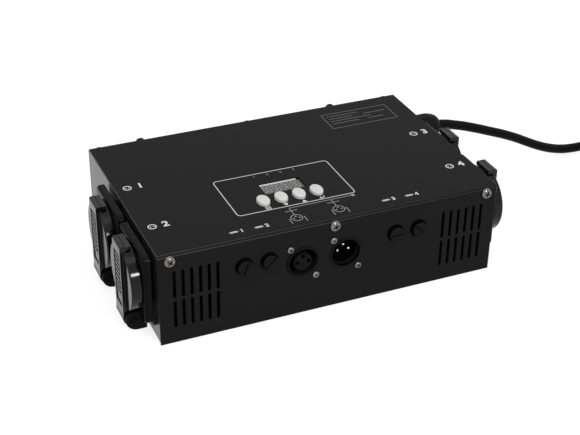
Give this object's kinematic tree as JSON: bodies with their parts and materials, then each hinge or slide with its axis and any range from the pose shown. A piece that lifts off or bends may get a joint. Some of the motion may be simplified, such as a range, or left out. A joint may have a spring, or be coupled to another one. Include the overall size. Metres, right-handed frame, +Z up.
{
  "type": "dimmer pack",
  "caption": "Flat steel dimmer case with lidded mains outlets on both sides, display and keys on top, signal sockets and fuses in front, and a mains lead.",
  "frame": {"origin": "middle of the flat underside of the case", "axes": "+X to the right along the front, +Y from the front to the rear, +Z up"},
  "size_m": [0.5354, 0.1872, 0.0728],
  "materials": {
    "case_paint": "fine textured black powder coat on steel",
    "zinc_plate": "zinc plated",
    "black_steel": "blackened steel, satin",
    "nickel_screw": "nickel plated, slightly dull",
    "black_shell": "black coated die-cast zinc, satin",
    "socket_plastic": "black thermoset, satin",
    "contact_metal": "silver plated contacts",
    "outlet_plastic": "black thermoplastic, satin",
    "lid_plastic": "black thermoplastic, satin",
    "spring_steel": "spring wire",
    "key_plastic": "off white, satin",
    "display_glass": "grey filter with dark segments",
    "circuit_board": "green solder resist",
    "aluminium": "mill finish",
    "core_steel": "varnished laminations",
    "gland_plastic": "black nylon",
    "lead_rubber": "black sheath, satin",
    "plug_plastic": "black rubber, satin"
  },
  "bodies": {
    "case": {"cover_shell": "case_paint", "base_tray": "case_paint", "front_rail": "zinc_plate", "rear_rail": "zinc_plate", "suspension_stud_left": "black_steel", "suspension_stud_right": "black_steel", "cover_screw_left": "nickel_screw", "cover_screw_middle": "nickel_screw", "cover_screw_right": "nickel_screw", "xlr_screw_1": "nickel_screw", "xlr_screw_2": "nickel_screw", "xlr_screw_3": "nickel_screw", "xlr_screw_4": "nickel_screw", "xlr_female_shell": "black_shell", "xlr_male_shell": "black_shell", "xlr_female_insert": "socket_plastic", "fuse_holder_1": "socket_plastic", "fuse_holder_2": "socket_plastic", "fuse_holder_3": "socket_plastic", "fuse_holder_4": "socket_plastic", "xlr_male_pins": "contact_metal", "earth_clip_1": "contact_metal", "earth_clip_2": "contact_metal", "earth_clip_3": "contact_metal", "earth_clip_4": "contact_metal", "outlet_housing_1": "outlet_plastic", "outlet_housing_2": "outlet_plastic", "outlet_housing_3": "outlet_plastic", "outlet_housing_4": "outlet_plastic", "hinge_pin_1": "outlet_plastic", "hinge_pin_2": "outlet_plastic", "hinge_pin_3": "outlet_plastic", "hinge_pin_4": "outlet_plastic", "lid_spring_1": "spring_steel", "lid_spring_2": "spring_steel", "lid_spring_3": "spring_steel", "lid_spring_4": "spring_steel", "display_module": "display_glass", "control_board": "circuit_board", "power_board": "circuit_board", "heat_sink": "aluminium", "transformer": "core_steel", "gland_body": "gland_plastic", "gland_nut": "gland_plastic", "gland_locknut": "gland_plastic", "power_cord": "lead_rubber", "cord_coil": "lead_rubber", "mains_plug": "plug_plastic"},
    "lid_1": {"outlet_lid_1": "lid_plastic"},
    "lid_2": {"outlet_lid_2": "lid_plastic"},
    "lid_3": {"outlet_lid_3": "lid_plastic"},
    "lid_4": {"outlet_lid_4": "lid_plastic"},
    "key_menu_body": {"key_menu": "key_plastic"},
    "key_down_body": {"key_down": "key_plastic"},
    "key_up_body": {"key_up": "key_plastic"},
    "key_enter_body": {"key_enter": "key_plastic"},
    "fuse_cap_body_1": {"fuse_cap_1": "socket_plastic"},
    "fuse_cap_body_2": {"fuse_cap_2": "socket_plastic"},
    "fuse_cap_body_3": {"fuse_cap_3": "socket_plastic"},
    "fuse_cap_body_4": {"fuse_cap_4": "socket_plastic"}
  },
  "joints": [
    {"name": "lid_hinge_1", "type": "hinge", "parent": "case", "child": "lid_1", "pos_m": [-0.1366, 0.01, 0.0091], "axis": [0, -1, 0], "range_deg": [0, 90], "stiffness_Nm_per_rad": 0.03, "springref_deg": -34.38, "deforming": ["lid_spring_1"]},
    {"name": "lid_hinge_2", "type": "hinge", "parent": "case", "child": "lid_2", "pos_m": [-0.1366, -0.0455, 0.0091], "axis": [0, -1, 0], "range_deg": [0, 90], "stiffness_Nm_per_rad": 0.03, "springref_deg": -34.38, "deforming": ["lid_spring_2"]},
    {"name": "lid_hinge_3", "type": "hinge", "parent": "case", "child": "lid_3", "pos_m": [0.1366, 0.01, 0.0091], "axis": [0, 1, 0], "range_deg": [0, 90], "stiffness_Nm_per_rad": 0.03, "springref_deg": -34.38, "deforming": ["lid_spring_3"]},
    {"name": "lid_hinge_4", "type": "hinge", "parent": "case", "child": "lid_4", "pos_m": [0.1366, -0.0455, 0.0091], "axis": [0, 1, 0], "range_deg": [0, 90], "stiffness_Nm_per_rad": 0.03, "springref_deg": -34.38, "deforming": ["lid_spring_4"]},
    {"name": "key_menu_press", "type": "slide", "parent": "case", "child": "key_menu_body", "axis": [0, 0, -1], "range_m": [0, 0.0004], "stiffness_N_per_m": 1200, "springref_m": -0.0002},
    {"name": "key_down_press", "type": "slide", "parent": "case", "child": "key_down_body", "axis": [0, 0, -1], "range_m": [0, 0.0004], "stiffness_N_per_m": 1200, "springref_m": -0.0002},
    {"name": "key_up_press", "type": "slide", "parent": "case", "child": "key_up_body", "axis": [0, 0, -1], "range_m": [0, 0.0004], "stiffness_N_per_m": 1200, "springref_m": -0.0002},
    {"name": "key_enter_press", "type": "slide", "parent": "case", "child": "key_enter_body", "axis": [0, 0, -1], "range_m": [0, 0.0004], "stiffness_N_per_m": 1200, "springref_m": -0.0002},
    {"name": "fuse_cap_turn_1", "type": "hinge", "parent": "case", "child": "fuse_cap_body_1", "pos_m": [-0.06565, -0.084, 0.049], "axis": [0, -1, 0], "range_deg": [0, 90]},
    {"name": "fuse_cap_turn_2", "type": "hinge", "parent": "case", "child": "fuse_cap_body_2", "pos_m": [-0.04775, -0.084, 0.049], "axis": [0, -1, 0], "range_deg": [0, 90]},
    {"name": "fuse_cap_turn_3", "type": "hinge", "parent": "case", "child": "fuse_cap_body_3", "pos_m": [0.04635, -0.084, 0.049], "axis": [0, -1, 0], "range_deg": [0, 90]},
    {"name": "fuse_cap_turn_4", "type": "hinge", "parent": "case", "child": "fuse_cap_body_4", "pos_m": [0.06425, -0.084, 0.049], "axis": [0, -1, 0], "range_deg": [0, 90]}
  ]
}
